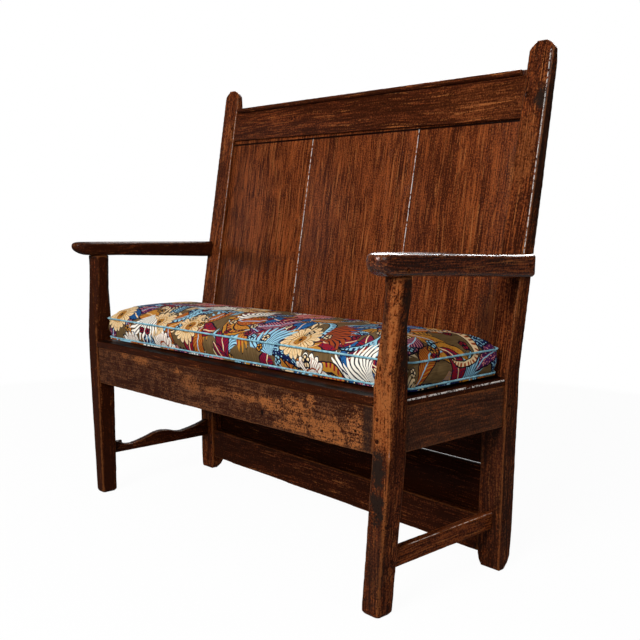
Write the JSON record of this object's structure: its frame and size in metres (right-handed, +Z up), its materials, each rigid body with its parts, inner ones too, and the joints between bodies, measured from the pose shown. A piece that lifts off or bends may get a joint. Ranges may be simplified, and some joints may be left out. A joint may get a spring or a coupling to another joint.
{
  "type": "settle bench",
  "caption": "Joined wooden settle with a raked boarded back, open arms, side stretchers and a loose piped box cushion on the plank seat.",
  "frame": {"origin": "middle of the bench's width and depth, on the floor", "axes": "+X along the seat to the sitter's left, the viewer's right; +Y to the back; +Z up"},
  "size_m": [1.2542, 0.5846, 1.217],
  "materials": {
    "oak": "old waxed surface, dark red-brown, worn to orange on the front rail and the right leg",
    "board_oak": "old waxed boards with streaky upright grain",
    "dark_oak": "dark unpolished boards under the seat",
    "peg_oak": "peg ends nearly flush, as dark as the wood round them",
    "cushion_fabric": null,
    "piping_cord": "light blue fabric-covered cord"
  },
  "bodies": {
    "frame": {"rear_post_left": "oak", "rear_post_right": "oak", "front_leg_left": "oak", "front_leg_right": "oak", "arm_left": "oak", "arm_right": "oak", "crest_rail": "oak", "crest_cap_moulding": "oak", "front_seat_rail": "oak", "side_seat_rail_left": "oak", "side_seat_rail_right": "oak", "side_stretcher_left": "oak", "side_stretcher_right": "oak", "seat_back_rail": "oak", "lower_back_rail": "oak", "back_board_left": "board_oak", "back_board_middle": "board_oak", "back_board_right": "board_oak", "seat_plank_front": "oak", "seat_plank_rear": "oak", "lower_back_panel": "dark_oak", "upper_back_panel": "dark_oak", "seat_bearer": "dark_oak", "front_rail_peg_left_upper": "peg_oak", "front_rail_peg_left_lower": "peg_oak", "front_rail_peg_right_upper": "peg_oak", "front_rail_peg_right_lower": "peg_oak", "side_rail_front_peg_left": "peg_oak", "side_rail_front_peg_right": "peg_oak", "side_rail_rear_peg_left": "peg_oak", "side_rail_rear_peg_right": "peg_oak", "stretcher_front_peg_left": "peg_oak", "stretcher_front_peg_right": "peg_oak", "stretcher_rear_peg_left": "peg_oak", "stretcher_rear_peg_right": "peg_oak", "lower_rail_peg_left": "peg_oak", "lower_rail_peg_right": "peg_oak", "seat_back_rail_peg_left": "peg_oak", "seat_back_rail_peg_right": "peg_oak", "crest_peg_left": "peg_oak", "crest_peg_right": "peg_oak", "arm_front_peg_left": "peg_oak", "arm_front_peg_right": "peg_oak", "arm_rear_peg_left": "peg_oak", "arm_rear_peg_right": "peg_oak"},
    "cushion": {"cushion": "cushion_fabric", "cushion_piping_lower": "piping_cord", "cushion_piping_upper": "piping_cord"}
  },
  "joints": [
    {"name": "cushion_lift", "type": "slide", "parent": "frame", "child": "cushion", "axis": [0, 0, 1], "range_m": [0, 0.12]}
  ]
}
